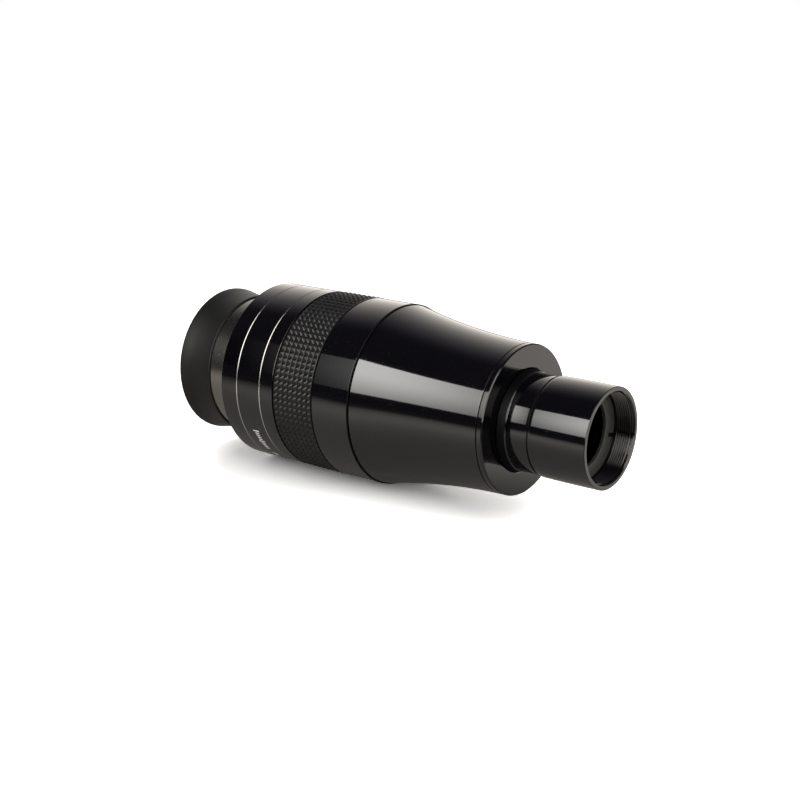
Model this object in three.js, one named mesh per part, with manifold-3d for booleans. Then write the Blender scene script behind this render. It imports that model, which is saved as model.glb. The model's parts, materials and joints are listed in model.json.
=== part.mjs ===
// Telescope eyepiece, 1.25 inch barrel, Ø60 mm body, 157 mm long.
//
// The optical axis is X, with +X towards the barrel tip (the field side), and +Z up.
// The origin is the middle of the bounding box, on the optical axis.
// Every outline below is a list of [t, r]: t is the distance from the barrel tip
// towards the eye end, and r is the distance from the optical axis, in millimetres.

import * as THREE from 'three';
import { mergeVertices } from 'three/addons/utils/BufferGeometryUtils.js';
import Module from 'manifold-3d';

const wasm = await Module();
wasm.setup();

// ---- driving dimensions ------------------------------------------------------------

const LENGTH = 156.9;
const BODY_R = 30;
const BARREL_R = 31.75 / 2;
const GAP = 0.1;             // fit and thread clearance between neighbours
const SLIDE_GAP = 0.15;      // clearance round the sliding sleeve
const LENS_GAP = 0.2;        // clearance round a lens in its cell
const SEAM = 0.3;            // visible joint between two shells
const EDGE = 0.3;            // ordinary edge break

const SHELL_SEGMENTS = 48;
const INNER_SEGMENTS = 32;
const LENS_SEGMENTS = 24;
const LENS_STEPS = 4;

// Stations along the axis.
const LAND_END = 18.6;       // end of the full-diameter part of the barrel
const COLLAR = 27.9;         // start of the collar next to the shoulder
const SHOULDER = 30.6;       // the face that rests on the focuser
const PLATE_END = 32.45;
const TAPER_END = 77.2;
const BAND_END = 92.3;
const GRIP_END = 109.2;
const LINES = [114.83, 124.94];
const LIP_START = 130.2;     // the lip inside the rear housing that keeps the sleeve in
const BODY_END = 132.1;
const CUP_START = 143.4;
const SEAT_END = 147.5;      // end of the seat under the rubber cup

// Radii.
const FILTER_BORE_R = 14.2;
const BARREL_SPIGOT_R = 15;
const PLATE_SPIGOT_R = 20.5;
const NECK_R = 24;           // the body at the shoulder
const TAPER_REAR_R = 29.6;
const TAPER_ARC_R = 220;
const FRONT_SPIGOT_R = 25.6;
const REAR_SPIGOT_R = 28.3;
const CELL_BORE_R = 25;
const CELL_NECK_R = 21.4;
const SLEEVE_R = 23.7;
const SEAT_R = 22.6;
const CUP_R = 24.2;
const CUP_RIM_R = 25.1;
const GRIP_R = BODY_R + 0.2;
const FIELD_LENS_R = 14;
const MAIN_LENS_R = 22.6;
const EYE_LENS_R = 19.4;

const EYECUP_TRAVEL = 10.6;    // the raised cup can be pushed this far towards the body
const FLANGE = [126.2, 129.7]; // the sleeve's flange, behind the lip of the rear housing

// ---- materials -----------------------------------------------------------------------

const finish = (color, roughness, metalness) =>
  new THREE.MeshStandardMaterial({ color, roughness, metalness });

const FINISHES = {
  glossBlack: () => finish(0x0b0a0c, 0.15, 0.1),
  matteBlack: () => finish(0x111113, 0.7, 0.2),
  satinGrey: () => finish(0x4a4846, 0.38, 0.8),
  rubber: () => finish(0x1b1a1a, 0.85, 0),
  brass: () => finish(0x8a6f3c, 0.4, 1),
  crown: () => finish(0xcfdcd6, 0.03, 0),
  flint: () => finish(0xd8d6c4, 0.03, 0),
};

// ---- building blocks -----------------------------------------------------------------

const axisX = (t) => LENGTH / 2 - t;

/** Twice the signed area of a closed outline of [t, r] points. */
function signedArea(outline) {
  return outline.reduce((sum, [t, r], i) => {
    const [nextT, nextR] = outline[(i + 1) % outline.length];
    return sum + t * nextR - nextT * r;
  }, 0);
}

/** A solid of revolution. An outline off the axis is closed back on its first point. */
function turned(outline, segments) {
  const ordered = signedArea(outline) > 0 ? outline : [...outline].reverse();
  const touchesAxis = ordered.some(([, r]) => r === 0);
  const loop = touchesAxis ? fromAxis(ordered) : [...ordered, ordered[0]];
  const points = loop.map(([t, r]) => new THREE.Vector2(r, axisX(t)));
  return new THREE.LatheGeometry(points, segments);
}

/** Rotates a closed outline so that its two points on the axis come first and last. */
function fromAxis(outline) {
  const count = outline.length;
  const start = outline.findIndex(([, r], i) => r === 0 && outline[(i + 1) % count][1] > 0);
  return outline.map((_, i) => outline[(start + i) % count]);
}

function toManifold(geometry) {
  const bare = geometry.clone();
  bare.deleteAttribute('normal');
  bare.deleteAttribute('uv');
  const merged = mergeVertices(bare, 1e-4);
  return new wasm.Manifold(new wasm.Mesh({
    numProp: 3,
    vertProperties: new Float32Array(merged.attributes.position.array),
    triVerts: new Uint32Array(merged.index.array),
  }));
}

function fromManifold(solid) {
  const mesh = solid.getMesh();
  const geometry = new THREE.BufferGeometry();
  geometry.setAttribute('position', new THREE.BufferAttribute(mesh.vertProperties, 3));
  geometry.setIndex(new THREE.BufferAttribute(mesh.triVerts, 1));
  geometry.computeVertexNormals();
  return geometry;
}

/** Cuts two opposite spanner slots across the face of a ring at station t. */
function withSlots(ring, { t, depth, width, outerR, turn = 0 }) {
  const slot = new THREE.BoxGeometry(2 * outerR + 2, 2 * depth, width);
  slot.rotateY(turn);
  slot.translate(0, axisX(t), 0);
  return fromManifold(toManifold(ring).subtract(toManifold(slot)));
}

const eyepiece = new THREE.Group();
eyepiece.name = 'telescope_eyepiece';
const axis = new THREE.Group();        // turns the lathe axis Y onto the optical axis X
axis.rotation.z = -Math.PI / 2;
eyepiece.add(axis);

function addPiece(name, geometry, material) {
  const mesh = new THREE.Mesh(geometry, material);
  mesh.name = name;
  axis.add(mesh);
}

const addTurned = (name, material, outline, segments = SHELL_SEGMENTS) =>
  addPiece(name, turned(outline, segments), material);

/** A plain tube between two stations. */
const addSpacer = (name, start, end, innerR, outerR) =>
  addTurned(name, FINISHES.matteBlack(), [
    [start, innerR], [start, outerR], [end, outerR], [end, innerR],
  ], INNER_SEGMENTS);

/** Distance of a spherical surface from its vertex plane, signed like its radius. */
const sag = (radius, h) => radius - Math.sign(radius) * Math.sqrt(radius * radius - h * h);

/** Points of a lens surface from the axis out to the rim. */
function lensSurface({ vertex, radius }, rimR) {
  return Array.from({ length: LENS_STEPS + 1 }, (_, i) => {
    const h = (rimR * i) / LENS_STEPS;
    return [vertex + sag(radius, h), h];
  });
}

/** A lens between two spherical surfaces. A positive radius bulges towards the barrel tip. */
function addLens(name, material, rimR, front, back) {
  const outline = [
    ...lensSurface(front, rimR),
    ...lensSurface(back, rimR).reverse(),
  ];
  addTurned(name, material, outline, LENS_SEGMENTS);
}

/** A cemented pair: the two elements share the middle curve, one cement layer apart. */
function addDoublet(names, materials, rimR, front, middle, back) {
  addLens(names[0], materials[0], rimR, front, middle);
  const cemented = { ...middle, vertex: middle.vertex + GAP };
  addLens(names[1], materials[1], rimR, cemented, back);
}

// ---- barrel and the field lens group ------------------------------------------------

/** The push-fit tube. A shallow undercut lets a clamp screw hold it, and it flares a
 *  little at the collar, where it meets the shoulder. */
function addBarrel() {
  const mouthR = 14.55;
  const mouthDepth = 0.45;
  const tipEdge = 0.15;
  const undercut = [LAND_END + 2.3, COLLAR - EDGE];
  const undercutR = BARREL_R - 0.35;
  const collarR = [BARREL_R - 0.12, BARREL_R + 0.38];
  const collarEnd = SHOULDER - GAP;
  const lensSeat = [32.5, 34];
  const lensSeatR = 11.8;
  const tailR = 13;
  const end = 38;
  addTurned('nosepiece_barrel', FINISHES.glossBlack(), [
    [0, mouthR],
    [0, BARREL_R - tipEdge],
    [tipEdge, BARREL_R],
    [LAND_END, BARREL_R],
    [undercut[0], undercutR],
    [undercut[1], undercutR],
    [COLLAR, collarR[0]],
    [collarEnd, collarR[1]],
    [collarEnd, BARREL_SPIGOT_R],
    [end, BARREL_SPIGOT_R],
    [end, tailR],
    [lensSeat[1], tailR],
    [lensSeat[1], lensSeatR],
    [lensSeat[0], lensSeatR],
    [lensSeat[0], FILTER_BORE_R],
    [mouthDepth, FILTER_BORE_R],
  ]);
}

function addFieldRetainingRing() {
  const front = 7.1;
  const innerFront = 8;
  const back = 9.1;
  const outerR = FILTER_BORE_R - GAP;
  const innerR = 10.44;
  const slotDepth = 0.5;          // shallow, so the slots end half way down the ring's cone
  const ring = turned([
    [front, outerR], [innerFront, innerR], [back, innerR], [back, outerR],
  ], SHELL_SEGMENTS);
  const slots = { t: front, depth: slotDepth, width: 1.3, outerR, turn: -Math.PI / 12 };
  addPiece('field_retaining_ring', withSlots(ring, slots), FINISHES.matteBlack());
}

function addFieldLenses() {
  addDoublet(
    ['field_lens_flint', 'field_lens_crown'],
    [FINISHES.flint(), FINISHES.crown()],
    FIELD_LENS_R,
    { vertex: 10.9, radius: -60 },
    { vertex: 12.9, radius: 30 },
    { vertex: 18.6, radius: 90 },
  );
  addSpacer('field_lens_spacer', 19.95, 25.85, FIELD_LENS_R - 0.8, FIELD_LENS_R);
  addLens('field_lens_negative', FINISHES.crown(), FIELD_LENS_R,
    { vertex: 28.65, radius: -40 },
    { vertex: 30.6, radius: 60 });
}

// ---- body shells -----------------------------------------------------------------------

function addEndPlate() {
  const boreR = BARREL_SPIGOT_R + GAP;
  const leadR = 16.7;
  const leadDepth = 0.6;
  const chamfer = 0.35;
  const end = 37.8;
  addTurned('end_plate', FINISHES.glossBlack(), [
    [SHOULDER, leadR],
    [SHOULDER, NECK_R - chamfer],
    [SHOULDER + chamfer, NECK_R],
    [PLATE_END, NECK_R],
    [PLATE_END, PLATE_SPIGOT_R],
    [end, PLATE_SPIGOT_R],
    [end, boreR],
    [SHOULDER + leadDepth, boreR],
  ]);
}

/** Radius of the tapered shell: an arc that hollows the cone between its two ends. */
function taperRadius(t, start, end) {
  const chord = Math.hypot(end - start, TAPER_REAR_R - NECK_R);
  const along = (t - start) / (end - start);
  const bulge = (chord * chord * along * (1 - along)) / (2 * TAPER_ARC_R);
  return NECK_R + (TAPER_REAR_R - NECK_R) * along - bulge;
}

function addTaperHousing() {
  const steps = 8;
  const start = PLATE_END + SEAM;
  const threadEnd = 38.3;
  const boreR = [PLATE_SPIGOT_R + GAP, FRONT_SPIGOT_R - 1];
  const socketStart = 70;
  const socketR = FRONT_SPIGOT_R + GAP;
  const outside = Array.from({ length: steps + 1 }, (_, i) => {
    const t = start + ((TAPER_END - start) * i) / steps;
    return [t, taperRadius(t, start, TAPER_END)];
  });
  addTurned('taper_housing', FINISHES.glossBlack(), [
    ...outside,
    [TAPER_END, socketR],
    [socketStart, socketR],
    [socketStart, boreR[1]],
    [threadEnd, boreR[0]],
    [start, boreR[0]],
  ]);
}

function addMainHousing() {
  const start = 70.3;
  const flangeEnd = 80;
  const flangeR = 22.5;
  const end = LIP_START - SEAM;
  const bandStart = TAPER_END + SEAM;
  addTurned('main_housing', FINISHES.glossBlack(), [
    [start, flangeR],
    [start, FRONT_SPIGOT_R],
    [bandStart, FRONT_SPIGOT_R],
    [bandStart, BODY_R - EDGE],
    [bandStart + EDGE, BODY_R],
    [BAND_END - EDGE, BODY_R],
    [BAND_END, BODY_R - EDGE],
    [BAND_END, REAR_SPIGOT_R],
    [end, REAR_SPIGOT_R],
    [end, CELL_BORE_R],
    [flangeEnd, CELL_BORE_R],
    [flangeEnd, flangeR],
  ]);
}

function addGripRing() {
  const start = BAND_END + SEAM;
  const innerR = REAR_SPIGOT_R + GAP;
  const lip = 0.7;
  addTurned('grip_ring', FINISHES.rubber(), [
    [start, innerR],
    [start, GRIP_R - lip],
    [start + lip, GRIP_R],
    [GRIP_END - EDGE, GRIP_R],
    [GRIP_END, GRIP_R - EDGE],
    [GRIP_END, innerR],
  ]);
}

/** The rear shell, with two fine V grooves round it and a lip that keeps the sleeve in. */
function addRearHousing() {
  const start = GRIP_END + GAP;
  const threadR = REAR_SPIGOT_R + GAP;
  const lineHalf = 0.2;
  const lineDepth = 0.2;
  const holeR = SLEEVE_R + SLIDE_GAP;
  const grooves = LINES.flatMap((t) => [
    [t - lineHalf, BODY_R],
    [t, BODY_R - lineDepth],
    [t + lineHalf, BODY_R],
  ]);
  addTurned('rear_housing', FINISHES.glossBlack(), [
    [start, threadR],
    [start, BODY_R],
    ...grooves,
    [BODY_END - EDGE, BODY_R],
    [BODY_END, BODY_R - EDGE],
    [BODY_END, holeR],
    [LIP_START, holeR],
    [LIP_START, threadR],
  ]);
}

// ---- lens cell, its lenses and the field stop ------------------------------------------

function addFieldStop() {
  const start = 72;
  const end = 74;
  const outerR = 22.3;
  const openingR = 14.5;
  const bevel = 1.3;
  addTurned('field_stop_ring', FINISHES.brass(), [
    [start, outerR],
    [end, outerR],
    [end, openingR + bevel],
    [end - bevel / 2, openingR],
    [start, openingR],
  ], INNER_SEGMENTS);
}

function addLensCell() {
  const start = 80.2;
  const boreEnd = 109;
  const neckStart = FLANGE[0] - EYECUP_TRAVEL - 3;   // room for the flange to slide in
  const lip = [112.5, 114];
  const lipR = 17.6;
  const end = 140.5;
  const mainBoreR = MAIN_LENS_R + LENS_GAP;
  const eyeBoreR = EYE_LENS_R + LENS_GAP;
  addTurned('lens_cell', FINISHES.matteBlack(), [
    [start, CELL_BORE_R - GAP],
    [neckStart, CELL_BORE_R - GAP],
    [neckStart, CELL_NECK_R],
    [end, CELL_NECK_R],
    [end, eyeBoreR + EDGE],
    [end - EDGE, eyeBoreR],
    [lip[1], eyeBoreR],
    [lip[1], lipR],
    [lip[0], lipR],
    [lip[0], eyeBoreR],
    [boreEnd, eyeBoreR],
    [boreEnd, mainBoreR],
    [start, mainBoreR],
  ]);
}

function addSlottedRing(name, start, end, innerR, outerR, slotFace) {
  const ring = turned([
    [start, innerR], [start, outerR], [end, outerR], [end, innerR],
  ], INNER_SEGMENTS);
  const slots = { t: slotFace, depth: 0.8, width: 1.4, outerR };
  addPiece(name, withSlots(ring, slots), FINISHES.matteBlack());
}

function addMainLenses() {
  addSlottedRing('cell_retaining_ring', 81.4, 83.6, 20.8, MAIN_LENS_R, 81.4);
  addDoublet(
    ['main_lens_flint', 'main_lens_crown'],
    [FINISHES.flint(), FINISHES.crown()],
    MAIN_LENS_R,
    { vertex: 86, radius: -120 },
    { vertex: 88.5, radius: 45 },
    { vertex: 102, radius: -50 },
  );
  addSpacer('main_lens_spacer', 97.2, 106.5, MAIN_LENS_R - 0.8, MAIN_LENS_R);
  addLens('main_lens_singlet', FINISHES.crown(), MAIN_LENS_R,
    { vertex: 102.7, radius: 60 },
    { vertex: 109.7, radius: -200 });
}

function addEyeLenses() {
  addDoublet(
    ['rear_lens_crown', 'rear_lens_flint'],
    [FINISHES.crown(), FINISHES.flint()],
    EYE_LENS_R,
    { vertex: 112.2, radius: 70 },
    { vertex: 124, radius: -40 },
    { vertex: 126.3, radius: -300 },
  );
  addSpacer('rear_lens_spacer', 125.9, 130.4, EYE_LENS_R - 0.8, EYE_LENS_R);
  addLens('eye_lens', FINISHES.crown(), EYE_LENS_R,
    { vertex: 127.5, radius: 55 },
    { vertex: 136.2, radius: -160 });
  addSlottedRing('eye_lens_retaining_ring', 135.4, 137.6, 18, EYE_LENS_R, 137.6);
}

// ---- sliding eyecup --------------------------------------------------------------------

/** The tube that carries the cup. Its flange stops behind the lip of the rear housing. */
function addEyecupSleeve() {
  const boreR = CELL_NECK_R + SLIDE_GAP;
  const flangeR = CELL_BORE_R - SLIDE_GAP;
  const groove = [FLANGE[0] + 1, FLANGE[1] - 1];
  const grooveR = flangeR - 1.1;
  const seatStart = CUP_START - GAP;
  addTurned('eyecup_sleeve', FINISHES.satinGrey(), [
    [FLANGE[0], boreR],
    [FLANGE[0], flangeR],
    [groove[0], flangeR],
    [groove[0], grooveR],
    [groove[1], grooveR],
    [groove[1], flangeR],
    [FLANGE[1], flangeR],
    [FLANGE[1], SLEEVE_R],
    [seatStart, SLEEVE_R],
    [seatStart, SEAT_R],
    [SEAT_END, SEAT_R],
    [SEAT_END, boreR],
  ]);
}

function addFrictionRing() {
  const middle = (FLANGE[0] + FLANGE[1]) / 2;
  const cordR = 0.5;
  const ringR = 24.4;
  const sides = 8;
  const cord = Array.from({ length: sides }, (_, i) => {
    const angle = (2 * Math.PI * (i + 0.5)) / sides;
    return [middle + cordR * Math.cos(angle), ringR + cordR * Math.sin(angle)];
  });
  addTurned('eyecup_o_ring', FINISHES.rubber(), cord);
}

/** The rubber cup: a short waist that flares out to a rounded rim. */
function addRubberCup() {
  const seatR = SEAT_R + GAP;
  const lipStart = SEAT_END + SLIDE_GAP;
  const lipR = CELL_NECK_R + EDGE;
  addTurned('rubber_eyecup', FINISHES.rubber(), [
    [CUP_START, seatR],
    [CUP_START, CUP_R - EDGE],
    [CUP_START + EDGE, CUP_R],
    [148, CUP_R - 0.15],
    [152.1, CUP_R + 0.15],
    [155.8, CUP_RIM_R],
    [LENGTH - 0.3, CUP_RIM_R],
    [LENGTH, CUP_RIM_R - 0.4],
    [LENGTH, CUP_RIM_R - 1.1],
    [152.6, CUP_RIM_R - 2.2],
    [148.8, lipR],
    [lipStart, lipR],
    [lipStart, seatR],
  ]);
}

addBarrel();
addFieldRetainingRing();
addFieldLenses();
addEndPlate();
addTaperHousing();
addMainHousing();
addGripRing();
addRearHousing();
addFieldStop();
addLensCell();
addMainLenses();
addEyeLenses();
addEyecupSleeve();
addFrictionRing();
addRubberCup();

export default eyepiece;
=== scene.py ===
import json
import math

import bmesh
import bpy
from mathutils import Matrix, Vector


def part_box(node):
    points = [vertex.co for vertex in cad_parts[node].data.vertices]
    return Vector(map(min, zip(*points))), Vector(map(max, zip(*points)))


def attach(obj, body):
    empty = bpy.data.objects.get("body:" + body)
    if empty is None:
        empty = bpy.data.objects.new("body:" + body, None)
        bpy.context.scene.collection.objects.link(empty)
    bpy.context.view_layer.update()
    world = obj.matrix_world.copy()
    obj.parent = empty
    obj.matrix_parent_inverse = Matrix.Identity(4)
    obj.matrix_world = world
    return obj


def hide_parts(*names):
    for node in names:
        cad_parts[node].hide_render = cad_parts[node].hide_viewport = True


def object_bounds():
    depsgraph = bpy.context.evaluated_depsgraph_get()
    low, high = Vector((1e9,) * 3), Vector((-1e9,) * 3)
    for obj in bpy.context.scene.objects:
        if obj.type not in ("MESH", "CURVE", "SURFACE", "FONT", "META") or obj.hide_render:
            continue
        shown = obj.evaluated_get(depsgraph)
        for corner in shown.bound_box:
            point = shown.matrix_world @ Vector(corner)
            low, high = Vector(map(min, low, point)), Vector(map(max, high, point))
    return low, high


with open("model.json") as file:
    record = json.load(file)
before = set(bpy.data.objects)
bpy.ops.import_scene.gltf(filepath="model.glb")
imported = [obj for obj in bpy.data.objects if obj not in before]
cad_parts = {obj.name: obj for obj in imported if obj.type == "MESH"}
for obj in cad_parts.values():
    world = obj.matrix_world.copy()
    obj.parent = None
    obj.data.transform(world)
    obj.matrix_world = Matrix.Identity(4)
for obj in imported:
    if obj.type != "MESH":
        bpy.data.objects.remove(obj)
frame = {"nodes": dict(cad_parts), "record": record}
CAD_LOW, CAD_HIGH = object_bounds()

# ---- sizes, in metres, from the frame and a few details of each finish ------------------

MM = 0.001
HOUSING = "housing"
TIP_X = CAD_HIGH.x
CENTRE = (CAD_LOW + CAD_HIGH) / 2
BODY_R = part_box("main_housing")[1].z
SHOULDER_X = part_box("end_plate")[1].x
SAME = 2e-6                           # two CAD points closer than this are one point
NEAR = 0.03 * MM                      # a faceted bore's points lie this close to its radius

SHELL_SEGMENTS = 192
INNER_SEGMENTS = 96
CREASE = math.radians(28)             # faces that turn more than this meet in a crease
GRIP_CREASE = math.radians(55)        # the same for the pyramids, whose ridges are rounded
SOFT = math.radians(14)               # outline points that turn less lie on a curve
CURVE_STEPS = 6
FILLET_STEPS = 4

# How far each kind of edge is rounded.
EDGE_ROUNDING = 0.12 * MM
SHELL_ROUNDING = 0.16 * MM            # the barrel and the rear housing
CUP_ROUNDING = 0.45 * MM
LENS_BEVEL = 0.15 * MM
LIP_ROUNDING = 0.15 * MM
RING_ROUNDING = 0.1 * MM
LINE_ROUNDING = 0.05 * MM

THREAD_PITCH = 0.75 * MM
THREAD_DEPTH = 0.36 * MM
THREAD_START = 0.6 * MM               # from the barrel tip
THREAD_END = 6.8 * MM
THREAD_SAMPLES = 10                   # rings of vertices in one pitch

GRIP_ROWS = 92                        # pyramids around the grip ring
GRIP_COLUMNS = 8
GRIP_STEPS = 8                        # mesh steps across one pyramid
GRIP_DEPTH = 0.68 * MM
GRIP_LIP = 0.3 * MM
GRIP_LIP_DROP = 0.15 * MM             # the lip stays this much below the pyramids
RIDGE_SHARPNESS = 8                   # a higher value gives a pyramid sharper ridges
PYRAMID_STEEPNESS = 1.04              # above 1, the pyramid's top is cut off flat

LINE_HALF = 0.25 * MM                 # half width of a bright line, with its rounded edges
FLARE_LENGTH = 2.8 * MM               # the flared root of the barrel, which is not polished

# Faces with a second finish, picked by the X component of their normals.
FLARE_LEAN = (0.15, 0.25)             # the cone of the barrel's flared root
SEAM_LEAN = (0.3, 0.95)               # the edge break at the main housing's front seam
BRIGHT_LEAN = 0.65                    # the bright flank of a line leans more than this

SLOT_WIDTH = 1.3 * MM
SLOT_DEPTH = 0.8 * MM
FIELD_SLOT_DEPTH = 0.5 * MM           # shallow, so they stop half way down this ring's cone
FIELD_SLOT_TURN = math.radians(15)    # how far the field ring's slots stand off the horizontal

MARK_STARTS = (28, 54)                # degrees below the horizontal, on the -Y side
MARK_COUNTS = (10, 3)
MARK_STEP = 2
LONG_MARK_EVERY = 5
LONG_MARK_HALF = 1.3 * MM
MARK_HALF = 0.8 * MM                  # half the length of an ordinary mark
MARK_HALF_ANGLE = math.radians(0.5)
MARK_PROUD = 0.02 * MM


# ---- outlines: lists of (x, r) points ---------------------------------------------------

def cad_outline(node):
    """The turned outline of a CAD node, as (x, r) points in order round it."""
    points = []
    index = []
    mesh = frame["nodes"][node].data
    for vertex in mesh.vertices:
        x, r = vertex.co.x, math.hypot(vertex.co.y, vertex.co.z)
        known = (i for i, p in enumerate(points) if abs(p.x - x) + abs(p.y - r) < 2 * SAME)
        place = next(known, len(points))
        if place == len(points):
            points.append(Vector((x, r)))
        index.append(place)
    links = [set() for _ in points]
    for edge in mesh.edges:
        a, b = (index[v] for v in edge.vertices)
        if a != b:
            links[a].add(b)
            links[b].add(a)
    on_axis = [i for i, p in enumerate(points) if p.y < SAME]
    path = [on_axis[0] if on_axis else 0]
    while True:
        onward = [i for i in sorted(links[path[-1]]) if i not in path]
        if not onward:
            return [points[i] for i in path]
        path.append(onward[0])


def ring_corners(node):
    """The four corners of a slotted ring, whose slots hide its plain outline."""
    vertices = [v.co for v in frame["nodes"][node].data.vertices]
    flat = [Vector((co.x, math.hypot(co.y, co.z))) for co in vertices]
    outer_r = max(p.y for p in flat)
    inner_r = min(p.y for p in flat if abs(p.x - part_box(node)[0].x) < SAME)
    low_x, high_x = (c.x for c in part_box(node))
    bore = [p.x for p in flat if abs(p.y - inner_r) < NEAR]
    return [
        Vector((low_x, inner_r)),
        Vector((low_x, outer_r)),
        Vector((high_x, outer_r)),
        Vector((max(bore), inner_r)),
    ]


def is_closed(outline):
    """An outline that starts off the axis runs right round; others end on the axis."""
    return outline[0].y > SAME


def turn_at(outline, i):
    """How far the outline turns at a point, or None at the end of an open outline."""
    count = len(outline)
    if not is_closed(outline) and i in (0, count - 1):
        return None
    before, after = outline[i - 1], outline[(i + 1) % count]
    return (outline[i] - before).angle(after - outline[i])


def hermite(a, b, slope_a, slope_b, s):
    """A point of the curve from a to b that leaves and arrives along the given slopes."""
    length = (b - a).length
    return (
        a * (2 * s ** 3 - 3 * s ** 2 + 1)
        + slope_a * length * (s ** 3 - 2 * s ** 2 + s)
        + b * (3 * s ** 2 - 2 * s ** 3)
        + slope_b * length * (s ** 3 - s ** 2)
    )


def mirrored(slope, chord):
    """The slope at the other end of a chord, for an arc that starts along a given slope."""
    return chord * (2 * chord.dot(slope)) - slope


def curved(outline):
    """Fills the soft stretches of an outline with points of a smooth curve."""
    count = len(outline)
    turns = [turn_at(outline, i) for i in range(count)]
    soft = [turn is not None and SAME < turn < SOFT for turn in turns]
    slopes = [
        (outline[(i + 1) % count] - outline[i - 1]).normalized() if soft[i] else None
        for i in range(count)
    ]
    result = []
    for i in range(count if is_closed(outline) else count - 1):
        j = (i + 1) % count
        a, b = outline[i], outline[j]
        result.append(a)
        if not (soft[i] or soft[j]):
            continue
        chord = (b - a).normalized()
        slope_a = slopes[i] or mirrored(slopes[j], chord)
        slope_b = slopes[j] or mirrored(slopes[i], chord)
        for k in range(1, CURVE_STEPS):
            result.append(hermite(a, b, slope_a, slope_b, k / CURVE_STEPS))
    if not is_closed(outline):
        result.append(outline[-1])
    return result


def filleted(outline, radius, own_radius=lambda point: None):
    """Rounds the corners of an outline. own_radius(point) may give a corner another radius."""
    result = []
    count = len(outline)
    for i, point in enumerate(outline):
        turn = turn_at(outline, i)
        if turn is None or turn < SOFT:
            result.append(point)
            continue
        to_before = outline[i - 1] - point
        to_after = outline[(i + 1) % count] - point
        wanted = own_radius(point) or radius
        room = 0.45 * min(to_before.length, to_after.length)
        reach = min(wanted * math.tan(turn / 2), room)
        arc_r = reach / math.tan(turn / 2)
        start = point + to_before.normalized() * reach
        end = point + to_after.normalized() * reach
        bisector = (to_before.normalized() + to_after.normalized()).normalized()
        centre = point + bisector * (arc_r / math.cos(turn / 2))
        for k in range(FILLET_STEPS + 1):
            s = k / FILLET_STEPS
            from_start = (start - centre) * math.sin((1 - s) * turn)
            from_end = (end - centre) * math.sin(s * turn)
            result.append(centre + (from_start + from_end) / math.sin(turn))
    return result


# ---- solids -----------------------------------------------------------------------------

def even_angles(count):
    return [2 * math.pi * j / count for j in range(count)]


def on_circle(x, r, angle):
    return (x, -r * math.sin(angle), r * math.cos(angle))


def turned_faces(outline, angles):
    """Vertices and faces of an outline turned about the X axis, and each ring's first vertex."""
    count = len(angles)
    vertices = []
    starts = []
    for x, r in outline:
        starts.append(len(vertices))
        if r < SAME:
            vertices.append((x, 0.0, 0.0))
        else:
            vertices.extend(on_circle(x, r, angle) for angle in angles)
    faces = []
    for i in range(len(outline) if is_closed(outline) else len(outline) - 1):
        after = (i + 1) % len(outline)
        a_pole, b_pole = outline[i].y < SAME, outline[after].y < SAME
        for j in range(count):
            k = (j + 1) % count
            a = [starts[i]] if a_pole else [starts[i] + j, starts[i] + k]
            b = [starts[after]] if b_pole else [starts[after] + k, starts[after] + j]
            faces.append(tuple(a + b))
    return vertices, faces, starts


def shade(mesh, crease=CREASE):
    """Points every face outwards, shades it smooth and leaves the creases sharp."""
    work = bmesh.new()
    work.from_mesh(mesh)
    bmesh.ops.recalc_face_normals(work, faces=work.faces)
    for face in work.faces:
        face.smooth = True
    for edge in work.edges:
        edge.smooth = edge.calc_face_angle(0) < crease
    work.to_mesh(mesh)
    work.free()


def new_piece(name, vertices, faces, crease=CREASE):
    mesh = bpy.data.meshes.new(name)
    mesh.from_pydata(vertices, [], faces)
    shade(mesh, crease)
    piece = bpy.data.objects.new(name, mesh)
    bpy.context.scene.collection.objects.link(piece)
    return piece


def turned(name, outline, segments):
    vertices, faces, _ = turned_faces(outline, even_angles(segments))
    return new_piece(name, vertices, faces)


def weight_normals(piece):
    """Keeps wide faces flat-looking beside their narrow rounded edges."""
    modifier = piece.modifiers.new("wide_faces_lead", "WEIGHTED_NORMAL")
    modifier.keep_sharp = True
    return piece


# ---- materials --------------------------------------------------------------------------

LATHE_PITCH = 0.16 * MM               # between two rings left by the lathe tool
LATHE_DRIFT = 25.0                    # how fast the rings change on the way round
GLASS_IOR = 1.52
SURFACE_IOR = 1.5                     # rubber, paint and anodised metal


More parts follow.
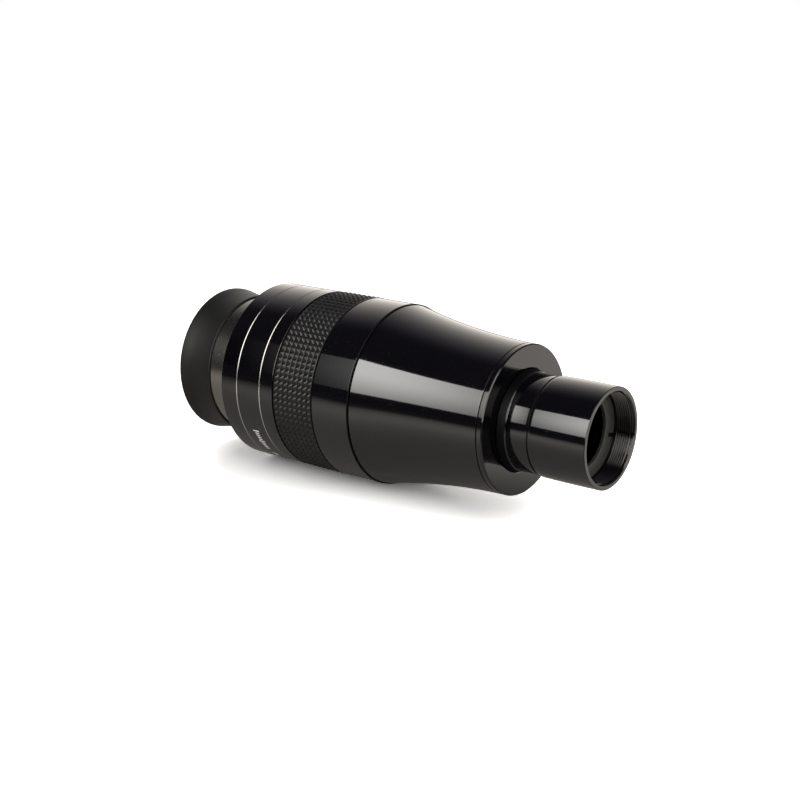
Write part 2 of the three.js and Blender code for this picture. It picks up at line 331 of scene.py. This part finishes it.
class Shader:
    """Adds and joins the nodes of one procedural material."""

    def __init__(self, name, tree_owner=None):
        self.owner = tree_owner or bpy.data.materials.new(name)
        self.owner.use_nodes = True
        self.tree = self.owner.node_tree
        self.tree.nodes.clear()

    def add(self, kind, inputs=None, **settings):
        node = self.tree.nodes.new(kind)
        for key, value in settings.items():
            setattr(node, key, value)
        for key, value in (inputs or {}).items():
            if isinstance(value, bpy.types.NodeSocket):
                self.tree.links.new(value, node.inputs[key])
            else:
                node.inputs[key].default_value = value
        return node

    def math(self, operation, a, b=0.0, c=0.0, clamp=False):
        inputs = {0: a, 1: b, 2: c}
        node = self.add("ShaderNodeMath", inputs, operation=operation, use_clamp=clamp)
        return node.outputs[0]

    def ramp(self, value, low, high, to_low=0.0, to_high=1.0):
        """Value between low and high becomes a smooth step between two results."""
        inputs = {"Value": value, "From Min": low, "From Max": high,
                  "To Min": to_low, "To Max": to_high}
        node = self.add("ShaderNodeMapRange", inputs, interpolation_type="SMOOTHSTEP")
        return node.outputs["Result"]

    def noise(self, vector, scale, detail=3.0):
        inputs = {"Vector": vector, "Scale": scale, "Detail": detail}
        return self.add("ShaderNodeTexNoise", inputs).outputs["Fac"]

    def mix(self, share, a, b, clamp=True):
        inputs = {"Factor": share, "A": a, "B": b}
        node = self.add("ShaderNodeMix", data_type="RGBA", clamp_factor=clamp)
        for key, value in inputs.items():
            socket = next(s for s in node.inputs if s.name == key and s.enabled)
            if isinstance(value, bpy.types.NodeSocket):
                self.tree.links.new(value, socket)
            else:
                socket.default_value = value
        return next(s for s in node.outputs if s.enabled)

    def place(self):
        return self.add("ShaderNodeTexCoord").outputs["Object"]

    def turning_lines(self, spacing):
        """Noise that runs in rings round the X axis, as a lathe tool leaves it."""
        xyz = self.add("ShaderNodeSeparateXYZ", {"Vector": self.place()})
        square = [self.math("MULTIPLY", xyz.outputs[k], xyz.outputs[k]) for k in (1, 2)]
        radius = self.math("SQRT", self.math("ADD", *square))
        along = self.math("DIVIDE", self.math("ADD", xyz.outputs[0], radius), spacing)
        drift = [self.math("MULTIPLY", xyz.outputs[k], LATHE_DRIFT) for k in (1, 2)]
        vector = self.add("ShaderNodeCombineXYZ", {0: along, 1: drift[0], 2: drift[1]})
        return self.noise(vector.outputs[0], 1.0, detail=2.0)

    def specks(self, scale, threshold, strongest=1.0):
        """Scattered specks of dust or lint, as a value that is 0 between them."""
        grain = self.noise(self.place(), scale, detail=1.0)
        return self.ramp(grain, threshold, 0.80, 0.0, strongest)

    def bump(self, height, distance):
        inputs = {"Height": height, "Distance": distance, "Strength": 1.0}
        return self.add("ShaderNodeBump", inputs).outputs["Normal"]

    def finish(self, surface):
        output = self.add("ShaderNodeOutputMaterial")
        self.tree.links.new(surface, output.inputs["Surface"])
        return self.owner


def turned_metal(name, colour, roughness, mark_height, metallic=0.0, gloss=0.5, dust=0.02):
    """Anodised or bare metal off a lathe: fine rings, uneven gloss and a little dust."""
    s = Shader(name)
    lines = s.turning_lines(LATHE_PITCH)
    smudge = s.noise(s.place(), 90.0)
    specks = s.specks(2600.0, 0.72)
    uneven = s.math("MULTIPLY_ADD", smudge, 0.5 * roughness, 0.75 * roughness)
    rough = s.math("MULTIPLY_ADD", specks, 0.3, uneven, clamp=True)
    dusty = tuple(c + dust for c in colour)
    tone = s.mix(specks, (*colour, 1.0), (*dusty, 1.0))
    surface = s.add("ShaderNodeBsdfPrincipled", {
        "Base Color": tone,
        "Metallic": metallic,
        "Roughness": rough,
        "IOR": SURFACE_IOR,
        "Specular IOR Level": gloss,
        "Normal": s.bump(lines, mark_height),
    })
    return s.finish(surface.outputs[0])


def moulded_rubber(name, colour, roughness, gloss, grain_height):
    """Rubber with a fine moulded grain, slow tone changes and a dusting of lint."""
    s = Shader(name)
    grain = s.noise(s.place(), 5200.0, detail=4.0)
    cloud = s.noise(s.place(), 120.0)
    lint = s.specks(1900.0, 0.70)
    worn = tuple(c * 1.7 for c in colour)
    tone = s.mix(cloud, (*colour, 1.0), (*worn, 1.0))
    dusty = tuple(c + 0.03 for c in colour)
    tone = s.mix(s.math("MULTIPLY", lint, 0.4), tone, (*dusty, 1.0))
    surface = s.add("ShaderNodeBsdfPrincipled", {
        "Base Color": tone,
        "Roughness": s.math("MULTIPLY_ADD", cloud, 0.16, roughness - 0.08),
        "IOR": SURFACE_IOR,
        "Specular IOR Level": gloss,
        "Normal": s.bump(grain, grain_height),
    })
    return s.finish(surface.outputs[0])


def coated_glass(name):
    """Optical glass with a coating that leaves only a weak green or violet reflection."""
    s = Shader(name)
    film = s.ramp(s.noise(s.place(), 40.0, detail=1.0), 0.3, 0.7)
    tint = s.mix(film, (0.35, 0.9, 0.5, 1.0), (0.6, 0.4, 0.95, 1.0))
    dust = s.specks(3200.0, 0.74, strongest=0.05)
    through = s.add("ShaderNodeBsdfRefraction", {
        "Color": (0.97, 0.99, 0.98, 1.0), "Roughness": dust, "IOR": GLASS_IOR})
    back = s.add("ShaderNodeBsdfGlossy", {"Color": tint, "Roughness": dust})
    reflected = 0.004
    surface = s.add("ShaderNodeMixShader", {
        0: reflected, 1: through.outputs[0], 2: back.outputs[0]})
    return s.finish(surface.outputs[0])


def mark_paint(name):
    """White paint in the marks, slightly chalky and worn."""
    s = Shader(name)
    wear = s.noise(s.place(), 3500.0)
    tone = s.mix(wear, (0.95, 0.95, 0.93, 1.0), (0.7, 0.7, 0.68, 1.0))
    surface = s.add("ShaderNodeBsdfPrincipled", {"Base Color": tone, "Roughness": 0.5})
    return s.finish(surface.outputs[0])


MATERIALS = {
    "gloss_black_anodised": turned_metal(
        "gloss_black_anodised", (0.0018, 0.0015, 0.0024), 0.06, 0.0003 * MM, dust=0.008),
    "matte_black_anodised": turned_metal(
        "matte_black_anodised", (0.050, 0.049, 0.048), 0.42, 0.002 * MM),
    "satin_grey_anodised": turned_metal(
        "satin_grey_anodised", (0.175, 0.168, 0.155), 0.22, 0.003 * MM, metallic=1.0),
    "blackened_brass": turned_metal(
        "blackened_brass", (0.05, 0.045, 0.035), 0.4, 0.002 * MM, metallic=1.0),
    "black_rubber": moulded_rubber(
        "black_rubber", (0.0060, 0.0057, 0.0055), 0.50, 0.15, 0.012 * MM),
    "grip_rubber": moulded_rubber(
        "grip_rubber", (0.0085, 0.0080, 0.0083), 0.30, 0.20, 0.003 * MM),
    "coated_glass": coated_glass("coated_glass"),
}
BRIGHT_CUT = turned_metal(
    "bright_cut_metal", (0.46, 0.46, 0.455), 0.22, 0.001 * MM, metallic=1.0)
# Dull black is the unpolished finish of the barrel's flared root and the main housing's front
# seam. It is also painted shade on the floors and lower walls of the rings' slots.
DULL_FINISH_AND_PAINTED_SHADE = turned_metal(
    "dull_black_metal_and_painted_shade", (0.0020, 0.0018, 0.0024), 0.5, 0.001 * MM, gloss=0.06, dust=0.008)
MARK_PAINT = mark_paint("mark_paint")
SLOTS = {part["node"]: part["material_slot"] for part in frame["record"]["subparts"]}
BODIES = {
    node: body
    for body, nodes in frame["record"]["behaviour"]["bodies"].items()
    for node in nodes
}


def stands_for(piece, node):
    """Gives a piece the body, the slot and the material of the CAD node it replaces."""
    piece.data.materials.append(MATERIALS[SLOTS[node]])
    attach(piece, BODIES[node])
    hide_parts(node)
    return piece


def recoat(piece, material, chosen):
    """Gives a piece a second material, on the faces for which chosen(face) is true."""
    piece.data.materials.append(material)
    second = len(piece.data.materials) - 1
    for face in piece.data.polygons:
        if chosen(face):
            face.material_index = second
    return piece


# ---- the pieces -------------------------------------------------------------------------

def plain_turned(node, segments=INNER_SEGMENTS, rounding=EDGE_ROUNDING):
    """A CAD node turned again, finely, with curved stretches and rounded edges."""
    outline = filleted(curved(cad_outline(node)), rounding)
    return stands_for(weight_normals(turned(f"{node}_turned", outline, segments)), node)


def lens(node):
    """A lens with true curved faces and a small ground bevel at its rim."""
    outline = filleted(curved(cad_outline(node)), LENS_BEVEL)
    return stands_for(turned(f"{node}_polished", outline, INNER_SEGMENTS), node)


def thread_ridge(phase):
    """Height of the thread form, from 0 at the root to 1 at the crest."""
    from_crest = abs(phase % 1 - 0.5) * 2
    return min(max(1.4 * (1 - from_crest) - 0.15, 0.0), 1.0)


def add_thread_rings(outline, start, end):
    """Adds the points that the thread needs to the outline's bore, and returns its radius."""
    count = len(outline)
    spans = ((i, outline[i], outline[(i + 1) % count]) for i in range(count))
    place, a, b = next(
        (i, a, b) for i, a, b in spans
        if max(a.x, b.x) > start and min(a.x, b.x) < end and abs(a.y - b.y) < SAME
        and a.y < BODY_R / 2
    )
    rings = round((start - end) / THREAD_PITCH * THREAD_SAMPLES)
    added = [Vector((start + (end - start) * k / rings, a.y)) for k in range(rings + 1)]
    if a.x < b.x:
        added.reverse()
    outline[place + 1:place + 1] = added
    return a.y


def press_thread(mesh, start, end, bore_r):
    """Moves the bore's vertices inwards along a helix, which fades out at both ends."""
    for vertex in mesh.vertices:
        x, y, z = vertex.co
        r = math.hypot(y, z)
        if abs(r - bore_r) > SAME or not end < x < start:
            continue
        fade = min((start - x) / THREAD_PITCH, (x - end) / THREAD_PITCH, 1.0)
        phase = x / THREAD_PITCH + math.atan2(z, y) / (2 * math.pi)
        ridge_r = bore_r - THREAD_DEPTH * fade * thread_ridge(phase)
        vertex.co = (x, y * ridge_r / r, z * ridge_r / r)


def barrel():
    """The push-fit barrel, with a real filter thread in its mouth and an unpolished root."""
    node = "nosepiece_barrel"
    outline = filleted(curved(cad_outline(node)), SHELL_ROUNDING)
    start, end = TIP_X - THREAD_START, TIP_X - THREAD_END
    bore_r = add_thread_rings(outline, start, end)
    piece = turned("nosepiece_barrel_turned", outline, SHELL_SEGMENTS)
    press_thread(piece.data, start, end, bore_r)
    stands_for(weight_normals(piece), node)

    def on_flare(face):
        at_root = SHOULDER_X < face.center.x < SHOULDER_X + FLARE_LENGTH
        return at_root and FLARE_LEAN[0] < face.normal.x < FLARE_LEAN[1]

    return recoat(piece, DULL_FINISH_AND_PAINTED_SHADE, on_flare)


def main_housing():
    """The smooth band and its hidden tube. The edge break at its front seam is unpolished."""
    piece = plain_turned("main_housing", SHELL_SEGMENTS)
    return recoat(piece, DULL_FINISH_AND_PAINTED_SHADE, lambda face: SEAM_LEAN[0] < face.normal.x < SEAM_LEAN[1])


def slot_cutter(face_x, length, depth, turn):
    """A bar that lies across a ring's face at face_x and reaches the given depth into it."""
    mesh = bpy.data.meshes.new("slot_cutter")
    work = bmesh.new()
    bmesh.ops.create_cube(work, size=1.0)
    size = Matrix.Diagonal((2 * depth, length, SLOT_WIDTH, 1.0))
    bmesh.ops.transform(work, matrix=size, verts=work.verts)
    place = Matrix.Translation((face_x, 0.0, 0.0)) @ Matrix.Rotation(-turn, 4, "X")
    bmesh.ops.transform(work, matrix=place, verts=work.verts)
    work.to_mesh(mesh)
    work.free()
    cutter = bpy.data.objects.new("slot_cutter", mesh)
    bpy.context.scene.collection.objects.link(cutter)
    return cutter


def cut_away(piece, cutter):
    """Cuts one object out of a piece and removes it from the scene."""
    modifier = piece.modifiers.new("slots", "BOOLEAN")
    modifier.object = cutter
    modifier.operation = "DIFFERENCE"
    modifier.solver = "EXACT"
    seen = piece.evaluated_get(bpy.context.evaluated_depsgraph_get())
    cut = bpy.data.meshes.new_from_object(seen)
    piece.modifiers.clear()
    piece.data = cut
    bpy.data.objects.remove(cutter)
    shade(piece.data)


def slotted_ring(node, slot_on_tip_side, slot_depth=SLOT_DEPTH, slot_turn=0.0):
    """A retaining ring with two spanner slots cut across the face that is turned out.
    The floor of each slot, and any wall that doesn't face up, gets painted shade: the dull
    black, much darker than the ring."""
    outline = filleted(ring_corners(node), RING_ROUNDING)
    piece = turned(f"{node}_slotted", outline, INNER_SEGMENTS)
    low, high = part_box(node)
    face_x = high.x if slot_on_tip_side else low.x
    cut_away(piece, slot_cutter(face_x, 3 * high.z, slot_depth, slot_turn))
    stands_for(piece, node)
    turn_sin, turn_cos = math.sin(slot_turn), math.cos(slot_turn)

    # Painted shade: the slot floors and the walls that don't face up take the dull black, which
    # is much darker than the ring's own colour.
    def is_painted_shade(face):
        depth = abs(face.center.x - face_x)
        off_middle = abs(face.center.y * turn_sin + face.center.z * turn_cos)
        is_floor = abs(depth - slot_depth) < SAME
        is_wall = depth < slot_depth and abs(face.normal.x) < 0.01
        takes_painted_shade = is_floor or (is_wall and face.normal.z < 0.5)
        return off_middle < SLOT_WIDTH / 2 + SAME and takes_painted_shade

    return recoat(piece, DULL_FINISH_AND_PAINTED_SHADE, is_painted_shade)


def pyramid(u, v):
    """Height of a square pyramid with rounded ridges: 1 on its top, about 0 at its foot.
    u and v run from -1 to 1 across it."""
    reach = (abs(u) ** RIDGE_SHARPNESS + abs(v) ** RIDGE_SHARPNESS) ** (1 / RIDGE_SHARPNESS)
    return min(1.0, PYRAMID_STEEPNESS * (1 - reach))


def grip_ring():
    """The grip: a grid of square pyramids, with a narrow plain lip at the front."""
    node = "grip_ring"
    low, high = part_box(node)
    inner_r = min(point.y for point in cad_outline(node))
    crest_r = high.z
    root_r = crest_r - GRIP_DEPTH
    lip_r = crest_r - GRIP_LIP_DROP
    lip_end = high.x - GRIP_LIP
    lip = [
        Vector((low.x, inner_r)),
        Vector((high.x, inner_r)),
        Vector((high.x, lip_r)),
        Vector((lip_end, lip_r)),
    ]
    outline = filleted(lip, LIP_ROUNDING)
    first = len(outline)
    steps = GRIP_COLUMNS * GRIP_STEPS
    field = [lip_end + (low.x - lip_end) * k / steps for k in range(steps + 1)]
    outline.extend(Vector((x, root_r)) for x in field)
    angles = even_angles(GRIP_ROWS * GRIP_STEPS)
    vertices, faces, starts = turned_faces(outline, angles)
    across = [2 * step / GRIP_STEPS - 1 for step in range(GRIP_STEPS)]
    for k, x in enumerate(field):
        for j, angle in enumerate(angles):
            r = root_r + GRIP_DEPTH * pyramid(across[k % GRIP_STEPS], across[j % GRIP_STEPS])
            vertices[starts[first + k] + j] = on_circle(x, r, angle)
    piece = new_piece("grip_ring_moulded", vertices, faces, crease=GRIP_CREASE)
    return stands_for(piece, node)


def rear_housing():
    """The rear shell. Its two lines are V cuts with one bright flank, which faces the tip.
    Returns where the lines are, along X."""
    node = "rear_housing"
    outline = cad_outline(node)
    count = len(outline)
    line_xs = [
        point.x for i, point in enumerate(outline)
        if point.y < BODY_R - SAME
        and abs(outline[i - 1].y - BODY_R) < SAME
        and abs(outline[(i + 1) % count].y - BODY_R) < SAME
    ]

    def in_line(x, r):
        near_skin = r > BODY_R - 2 * LINE_HALF
        return near_skin and any(abs(x - line_x) < LINE_HALF for line_x in line_xs)

    def own_radius(point):
        return LINE_ROUNDING if in_line(point.x, point.y) else None

    def is_bright(face):
        return in_line(face.center.x, face.center.yz.length) and face.normal.x > BRIGHT_LEAN

    outline = filleted(outline, SHELL_ROUNDING, own_radius)
    piece = weight_normals(turned("rear_housing_turned", outline, SHELL_SEGMENTS))
    stands_for(piece, node)
    recoat(piece, BRIGHT_CUT, is_bright)
    return line_xs


def index_marks(line_xs):
    """Plain white graduation marks between the two bright lines."""
    middle_x = sum(line_xs) / len(line_xs)
    vertices = []
    faces = []
    for start, count in zip(MARK_STARTS, MARK_COUNTS):
        for k in range(count):
            angle = math.radians(start + k * MARK_STEP)
            half_length = MARK_HALF if k % LONG_MARK_EVERY else LONG_MARK_HALF
            base = len(vertices)
            for r in (BODY_R - MARK_PROUD, BODY_R + MARK_PROUD):
                for side_x, side_a in ((-1, -1), (1, -1), (1, 1), (-1, 1)):
                    a = angle + side_a * MARK_HALF_ANGLE
                    x = middle_x + side_x * half_length
                    vertices.append((x, -r * math.cos(a), -r * math.sin(a)))
            faces.append(tuple(base + n for n in (0, 1, 2, 3)))
            faces.append(tuple(base + n for n in (7, 6, 5, 4)))
            for n in range(4):
                m = (n + 1) % 4
                faces.append((base + n, base + 4 + n, base + 4 + m, base + m))
    piece = new_piece("index_marks", vertices, faces)
    piece.data.materials.append(MARK_PAINT)
    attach(piece, HOUSING)
    return piece


def build():
    barrel()
    slotted_ring("field_retaining_ring", True, FIELD_SLOT_DEPTH, FIELD_SLOT_TURN)
    slotted_ring("cell_retaining_ring", slot_on_tip_side=True)
    slotted_ring("eye_lens_retaining_ring", slot_on_tip_side=False)
    grip_ring()
    index_marks(rear_housing())
    plain_turned("end_plate", SHELL_SEGMENTS)
    plain_turned("taper_housing", SHELL_SEGMENTS)
    main_housing()
    plain_turned("eyecup_sleeve", SHELL_SEGMENTS)
    plain_turned("rubber_eyecup", SHELL_SEGMENTS, CUP_ROUNDING)
    plain_turned("lens_cell", SHELL_SEGMENTS)
    for node in ("field_lens_spacer", "field_stop_ring", "main_lens_spacer",
                 "rear_lens_spacer", "eyecup_o_ring"):
        plain_turned(node)
    for node, slot in SLOTS.items():
        if slot == "coated_glass":
            lens(node)


# ---- stage ------------------------------------------------------------------------------

# A level that changes smoothly is given as (from, to), if it goes from 0 to 1, or as
# (from, to, level at from, level at to).

FLOOR_Z = CAD_LOW.z
FLOOR_HALF = 6.0
# Painted light: how bright the camera sees the floor, its colour lifted above white, more on the
# right than on the left. Above 1, only the contact shadows stay dark.
PAINTED_FLOOR_LIFT_X = (-0.06, 0.01, 1.85, 2.55)
# How bright the gloss sees the floor, as painted light and shade: it fades towards the near side
# and the left, and painted shadow darkens it under the object and in front of the barrel's
# mouth.
NEAR_SIDE_Y = (-0.42, -0.12, 0.16, 1.3)
SHADOW_UNDER_FRONT_Y = (-0.14, -0.04, 1.0, 0.5)
SHADOW_UNDER_BACK_Y = (0.0, 0.06, 0.0, 0.5)  # added to the level in front of it
LEFT_SIDE_X = (-0.25, 0.0, 0.4, 1.0)
MOUTH_SHADOW_X = (0.09, 0.13)                # painted shadow: how far the part in front of the mouth is darkened
MOUTH_SHADOW_Y = (0.01, -0.01, 0.0, 0.8)
TABLE_SHEEN = 0.25                    # roughness of the table's own faint gloss
TABLE_IOR = 1.35

SOFTBOX_Y = -0.6
SOFTBOX_X = (-1.0, 0.30)              # its left and right edges
SOFTBOX_Z = (0.108, 0.68)             # its lower and upper edges
SOFTBOX_POWER = 12.0
SOFTBOX_FADE_SIDEWAYS = (-0.70, -0.20)    # by the sine of the angle to the left or right
SOFTBOX_FADE_UP = (-0.2, 0.45)        # by height

SOFT_LIGHT = 1.12                     # from all round
SEEN_LIGHT = 1.0                      # the same as the camera sees it
DARK_ROOM = 0.05                      # the least that the gloss sees
BACKDROP_ANGLE = (math.radians(88), math.radians(180), 0.0, 2.0)  # from overhead to behind
BACKDROP_GAP_X = (-0.35, 0.05)
BACKDROP_GAP_Z = (0.0, 0.3)
BACKDROP_GAP = 0.9                    # how much darker the backdrop is in its gap
RIGHT_LIGHT = Vector((0.82, -0.36, 0.43)).normalized()
RIGHT_LIGHT_EDGE = (0.80, 0.92, 0.0, 3.5)  # by the cosine of the angle from its middle

CAMERA_AZIMUTH = math.radians(37.68)
CAMERA_ELEVATION = math.radians(16.32)
CAMERA_DISTANCE = 0.475
CAMERA_AIM = CENTRE + Vector((2.3, -4.4, -0.6)) * MM
CAMERA_LENS = 65.6                    # in millimetres, as is the sensor
CAMERA_SENSOR = 36.0

WARM = (1.0, 0.945, 0.865, 1.0)       # what the gloss sees of the floor and the backdrop
DUSK = (0.90, 0.84, 1.0, 1.0)         # the faint violet of the blacks overhead
TABLE = (0.93, 0.925, 0.915, 1.0)
BOX_WHITE = (1.0, 0.99, 0.96, 1.0)
WHITE = (1.0, 1.0, 1.0, 1.0)
BLACK = (0.0, 0.0, 0.0, 1.0)


def plane(name, corners):
    mesh = bpy.data.meshes.new(name)
    mesh.from_pydata(corners, [], [(0, 1, 2, 3)])
    obj = bpy.data.objects.new(name, mesh)
    bpy.context.scene.collection.objects.link(obj)
    return obj


def floor_with_painted_light(s, x, y):
    """The floor as the gloss sees it, with painted light and shade: its near side and its left
    are darker, and painted shadow darkens the part under the object and the part in front of the
    barrel's mouth."""
    near = s.ramp(y, *NEAR_SIDE_Y)
    beside = s.math("ADD", s.ramp(y, *SHADOW_UNDER_FRONT_Y), s.ramp(y, *SHADOW_UNDER_BACK_Y))
    mouth = s.math("MULTIPLY", s.ramp(x, *MOUTH_SHADOW_X), s.ramp(y, *MOUTH_SHADOW_Y))
    along = s.math("MULTIPLY", s.ramp(x, *LEFT_SIDE_X), s.math("SUBTRACT", 1.0, mouth))
    # Painted light and shade: the floor's colour follows this level.
    level = s.math("MULTIPLY", s.math("MULTIPLY", near, beside), along)
    return s.mix(level, BLACK, WARM, clamp=False)


def add_floor():
    """A pale table with painted light, which the camera and the gloss see in different ways."""
    half = FLOOR_HALF
    floor = plane("floor", [(-half, -half, FLOOR_Z), (half, -half, FLOOR_Z),
                            (half, half, FLOOR_Z), (-half, half, FLOOR_Z)])
    s = Shader("floor")
    x, y, _ = s.add("ShaderNodeSeparateXYZ", {"Vector": s.place()}).outputs
    # Painted light: the table's colour, lifted above white for the camera.
    seen = s.mix(s.ramp(x, *PAINTED_FLOOR_LIFT_X), BLACK, TABLE, clamp=False)
    from_camera = s.add("ShaderNodeLightPath").outputs["Is Camera Ray"]
    tone = s.mix(from_camera, floor_with_painted_light(s, x, y), seen)
    diffuse = s.add("ShaderNodeBsdfDiffuse", {"Color": tone})
    sheen = s.add("ShaderNodeBsdfGlossy", {"Color": WHITE, "Roughness": TABLE_SHEEN})
    facing = s.add("ShaderNodeFresnel", {"IOR": TABLE_IOR}).outputs[0]
    share = s.math("MULTIPLY", facing, from_camera)
    surface = s.add("ShaderNodeMixShader", {0: share, 1: diffuse.outputs[0],
                                            2: sheen.outputs[0]})
    floor.data.materials.append(s.finish(surface.outputs[0]))


def add_softbox():
    """A large soft light to the left of the camera, seen only in the gloss."""
    (x0, x1), (z0, z1) = SOFTBOX_X, SOFTBOX_Z
    box = plane("softbox", [(x0, SOFTBOX_Y, z0), (x1, SOFTBOX_Y, z0),
                            (x1, SOFTBOX_Y, z1), (x0, SOFTBOX_Y, z1)])
    s = Shader("softbox")
    x, _, z = s.add("ShaderNodeSeparateXYZ", {"Vector": s.place()}).outputs
    far = s.add("ShaderNodeVectorMath", {0: s.place()}, operation="LENGTH").outputs["Value"]
    sideways = s.math("DIVIDE", x, far)
    level = s.math("MULTIPLY", s.ramp(sideways, *SOFTBOX_FADE_SIDEWAYS),
                   s.ramp(z, *SOFTBOX_FADE_UP))
    strength = s.math("MULTIPLY", level, SOFTBOX_POWER)
    light = s.add("ShaderNodeEmission", {"Color": BOX_WHITE, "Strength": strength})
    box.data.materials.append(s.finish(light.outputs[0]))
    box.visible_camera = False
    box.visible_diffuse = False
    box.visible_shadow = False
    box.visible_transmission = False


def reflected_room(s):
    """The room as the gloss sees it: dark, with a backdrop that brightens from overhead to
    the table behind, and a light on the right."""
    direction = s.add("ShaderNodeTexCoord").outputs["Generated"]
    x, y, z = s.add("ShaderNodeSeparateXYZ", {"Vector": direction}).outputs
    over = s.math("ARCTAN2", z, s.math("MULTIPLY", y, -1.0))
    gap = s.math("MULTIPLY", s.ramp(x, *BACKDROP_GAP_X), s.ramp(z, *BACKDROP_GAP_Z))
    share = s.math("MULTIPLY_ADD", gap, -BACKDROP_GAP, 1.0)
    backdrop = s.math("MULTIPLY", s.ramp(over, *BACKDROP_ANGLE), share)
    aim = s.add("ShaderNodeVectorMath", {0: direction, 1: RIGHT_LIGHT}, operation="DOT_PRODUCT")
    right = s.ramp(aim.outputs["Value"], *RIGHT_LIGHT_EDGE)
    return s.math("ADD", s.math("ADD", backdrop, right), DARK_ROOM)


def add_world():
    """White all round for the camera and for soft light, and a dark room for the gloss."""
    world = bpy.data.worlds.new("studio")
    bpy.context.scene.world = world
    s = Shader("studio", world)
    glossy = reflected_room(s)
    tint = s.mix(s.math("MINIMUM", glossy, 1.0), DUSK, WARM)
    path = s.add("ShaderNodeLightPath")
    plain = s.math("MULTIPLY_ADD", path.outputs["Is Camera Ray"], SEEN_LIGHT - SOFT_LIGHT,
                   SOFT_LIGHT)
    is_gloss = path.outputs["Is Glossy Ray"]
    strength = s.math("MULTIPLY_ADD", is_gloss, s.math("SUBTRACT", glossy, plain), plain)
    colour = s.mix(is_gloss, WHITE, tint)
    light = s.add("ShaderNodeBackground", {"Color": colour, "Strength": strength})
    output = s.add("ShaderNodeOutputWorld")
    s.tree.links.new(light.outputs[0], output.inputs["Surface"])


def add_camera():
    """Looks from the barrel side, from a little above."""
    back = Vector((
        math.sin(CAMERA_AZIMUTH) * math.cos(CAMERA_ELEVATION),
        -math.cos(CAMERA_AZIMUTH) * math.cos(CAMERA_ELEVATION),
        math.sin(CAMERA_ELEVATION),
    ))
    data = bpy.data.cameras.new("camera")
    data.lens = CAMERA_LENS
    data.sensor_width = CAMERA_SENSOR
    data.clip_start = 0.01
    camera = bpy.data.objects.new("camera", data)
    camera.location = CAMERA_AIM + back * CAMERA_DISTANCE
    camera.rotation_mode = "QUATERNION"
    camera.rotation_quaternion = (-back).to_track_quat("-Z", "Y")
    bpy.context.scene.collection.objects.link(camera)
    bpy.context.scene.camera = camera


build()
add_floor()
add_softbox()
add_world()
add_camera()
bpy.context.scene.view_settings.view_transform = "Standard"
